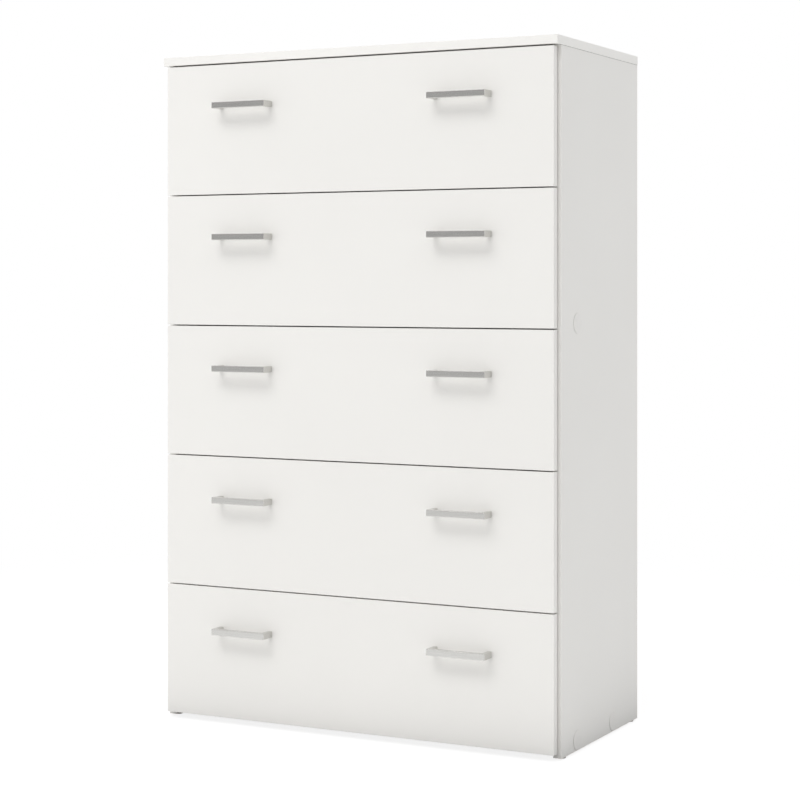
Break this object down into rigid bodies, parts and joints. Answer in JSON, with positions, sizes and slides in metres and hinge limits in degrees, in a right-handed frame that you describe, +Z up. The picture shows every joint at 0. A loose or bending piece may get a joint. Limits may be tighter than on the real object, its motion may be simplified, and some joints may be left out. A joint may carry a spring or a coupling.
{
  "type": "chest of drawers",
  "caption": "Tall white chest of drawers with flat overlay fronts, paired metal bow handles, a thin flat top and drawers that slide on roller runners.",
  "frame": {"origin": "on the floor, in the middle of the width and of the whole depth from handle faces to rear edges", "axes": "+X to the right seen from the front, +Y to the back, +Z up"},
  "size_m": [0.77, 0.397, 1.19],
  "materials": {
    "white_board": "white melamine-faced board, satin",
    "drawer_board": "white foil-wrapped board, matt",
    "hardboard": "white-lacquered hardboard",
    "handle_metal": "satin grey metal",
    "runner_steel": "white epoxy-coated steel",
    "roller_plastic": "white nylon",
    "fastener_steel": "zinc-plated steel",
    "cap_plastic": "white plastic",
    "glide_plastic": "pale plastic"
  },
  "bodies": {
    "carcass": {"top_panel": "white_board", "left_side_panel": "white_board", "right_side_panel": "white_board", "bottom_panel": "white_board", "middle_rail": "white_board", "back_panel": "hardboard", "glides": "glide_plastic", "side_cover_caps": "cap_plastic", "carcass_fasteners": "fastener_steel", "cabinet_runners": "runner_steel"},
    "drawer_1": {"drawer_1_front": "white_board", "drawer_1_left_side": "drawer_board", "drawer_1_right_side": "drawer_board", "drawer_1_back": "drawer_board", "drawer_1_floor": "hardboard", "drawer_1_handles": "handle_metal", "drawer_1_runners": "runner_steel", "drawer_1_fasteners": "fastener_steel"},
    "drawer_1_rear_roller_pair": {"drawer_1_rear_rollers": "roller_plastic"},
    "drawer_1_front_roller_pair": {"drawer_1_front_rollers": "roller_plastic"},
    "drawer_2": {"drawer_2_front": "white_board", "drawer_2_left_side": "drawer_board", "drawer_2_right_side": "drawer_board", "drawer_2_back": "drawer_board", "drawer_2_floor": "hardboard", "drawer_2_handles": "handle_metal", "drawer_2_runners": "runner_steel", "drawer_2_fasteners": "fastener_steel"},
    "drawer_2_rear_roller_pair": {"drawer_2_rear_rollers": "roller_plastic"},
    "drawer_2_front_roller_pair": {"drawer_2_front_rollers": "roller_plastic"},
    "drawer_3": {"drawer_3_front": "white_board", "drawer_3_left_side": "drawer_board", "drawer_3_right_side": "drawer_board", "drawer_3_back": "drawer_board", "drawer_3_floor": "hardboard", "drawer_3_handles": "handle_metal", "drawer_3_runners": "runner_steel", "drawer_3_fasteners": "fastener_steel"},
    "drawer_3_rear_roller_pair": {"drawer_3_rear_rollers": "roller_plastic"},
    "drawer_3_front_roller_pair": {"drawer_3_front_rollers": "roller_plastic"},
    "drawer_4": {"drawer_4_front": "white_board", "drawer_4_left_side": "drawer_board", "drawer_4_right_side": "drawer_board", "drawer_4_back": "drawer_board", "drawer_4_floor": "hardboard", "drawer_4_handles": "handle_metal", "drawer_4_runners": "runner_steel", "drawer_4_fasteners": "fastener_steel"},
    "drawer_4_rear_roller_pair": {"drawer_4_rear_rollers": "roller_plastic"},
    "drawer_4_front_roller_pair": {"drawer_4_front_rollers": "roller_plastic"},
    "drawer_5": {"drawer_5_front": "white_board", "drawer_5_left_side": "drawer_board", "drawer_5_right_side": "drawer_board", "drawer_5_back": "drawer_board", "drawer_5_floor": "hardboard", "drawer_5_handles": "handle_metal", "drawer_5_runners": "runner_steel", "drawer_5_fasteners": "fastener_steel"},
    "drawer_5_rear_roller_pair": {"drawer_5_rear_rollers": "roller_plastic"},
    "drawer_5_front_roller_pair": {"drawer_5_front_rollers": "roller_plastic"}
  },
  "joints": [
    {"name": "drawer_1_slide", "type": "slide", "parent": "carcass", "child": "drawer_1", "axis": [0, -1, 0], "range_m": [0, 0.22]},
    {"name": "drawer_1_front_rollers_spin", "type": "hinge", "parent": "carcass", "child": "drawer_1_front_roller_pair", "pos_m": [0, -0.1395, 0.9778], "axis": [1, 0, 0], "range_deg": [0, 1402]},
    {"name": "drawer_1_rear_rollers_spin", "type": "hinge", "parent": "drawer_1", "child": "drawer_1_rear_roller_pair", "pos_m": [0, 0.1365, 0.9778], "axis": [1, 0, 0], "range_deg": [0, 1402]},
    {"name": "drawer_2_slide", "type": "slide", "parent": "carcass", "child": "drawer_2", "axis": [0, -1, 0], "range_m": [0, 0.22]},
    {"name": "drawer_2_front_rollers_spin", "type": "hinge", "parent": "carcass", "child": "drawer_2_front_roller_pair", "pos_m": [0, -0.1395, 0.745], "axis": [1, 0, 0], "range_deg": [0, 1402]},
    {"name": "drawer_2_rear_rollers_spin", "type": "hinge", "parent": "drawer_2", "child": "drawer_2_rear_roller_pair", "pos_m": [0, 0.1365, 0.745], "axis": [1, 0, 0], "range_deg": [0, 1402]},
    {"name": "drawer_3_slide", "type": "slide", "parent": "carcass", "child": "drawer_3", "axis": [0, -1, 0], "range_m": [0, 0.22]},
    {"name": "drawer_3_front_rollers_spin", "type": "hinge", "parent": "carcass", "child": "drawer_3_front_roller_pair", "pos_m": [0, -0.1395, 0.5122], "axis": [1, 0, 0], "range_deg": [0, 1402]},
    {"name": "drawer_3_rear_rollers_spin", "type": "hinge", "parent": "drawer_3", "child": "drawer_3_rear_roller_pair", "pos_m": [0, 0.1365, 0.5122], "axis": [1, 0, 0], "range_deg": [0, 1402]},
    {"name": "drawer_4_slide", "type": "slide", "parent": "carcass", "child": "drawer_4", "axis": [0, -1, 0], "range_m": [0, 0.22]},
    {"name": "drawer_4_front_rollers_spin", "type": "hinge", "parent": "carcass", "child": "drawer_4_front_roller_pair", "pos_m": [0, -0.1395, 0.2794], "axis": [1, 0, 0], "range_deg": [0, 1402]},
    {"name": "drawer_4_rear_rollers_spin", "type": "hinge", "parent": "drawer_4", "child": "drawer_4_rear_roller_pair", "pos_m": [0, 0.1365, 0.2794], "axis": [1, 0, 0], "range_deg": [0, 1402]},
    {"name": "drawer_5_slide", "type": "slide", "parent": "carcass", "child": "drawer_5", "axis": [0, -1, 0], "range_m": [0, 0.22]},
    {"name": "drawer_5_front_rollers_spin", "type": "hinge", "parent": "carcass", "child": "drawer_5_front_roller_pair", "pos_m": [0, -0.1395, 0.0466], "axis": [1, 0, 0], "range_deg": [0, 1402]},
    {"name": "drawer_5_rear_rollers_spin", "type": "hinge", "parent": "drawer_5", "child": "drawer_5_rear_roller_pair", "pos_m": [0, 0.1365, 0.0466], "axis": [1, 0, 0], "range_deg": [0, 1402]}
  ],
  "couplings": [
    {"joint": "drawer_1_front_rollers_spin", "follows": "drawer_1_slide", "rad_per_m": 111.11},
    {"joint": "drawer_1_rear_rollers_spin", "follows": "drawer_1_slide", "rad_per_m": 111.11},
    {"joint": "drawer_2_front_rollers_spin", "follows": "drawer_2_slide", "rad_per_m": 111.11},
    {"joint": "drawer_2_rear_rollers_spin", "follows": "drawer_2_slide", "rad_per_m": 111.11},
    {"joint": "drawer_3_front_rollers_spin", "follows": "drawer_3_slide", "rad_per_m": 111.11},
    {"joint": "drawer_3_rear_rollers_spin", "follows": "drawer_3_slide", "rad_per_m": 111.11},
    {"joint": "drawer_4_front_rollers_spin", "follows": "drawer_4_slide", "rad_per_m": 111.11},
    {"joint": "drawer_4_rear_rollers_spin", "follows": "drawer_4_slide", "rad_per_m": 111.11},
    {"joint": "drawer_5_front_rollers_spin", "follows": "drawer_5_slide", "rad_per_m": 111.11},
    {"joint": "drawer_5_rear_rollers_spin", "follows": "drawer_5_slide", "rad_per_m": 111.11}
  ]
}
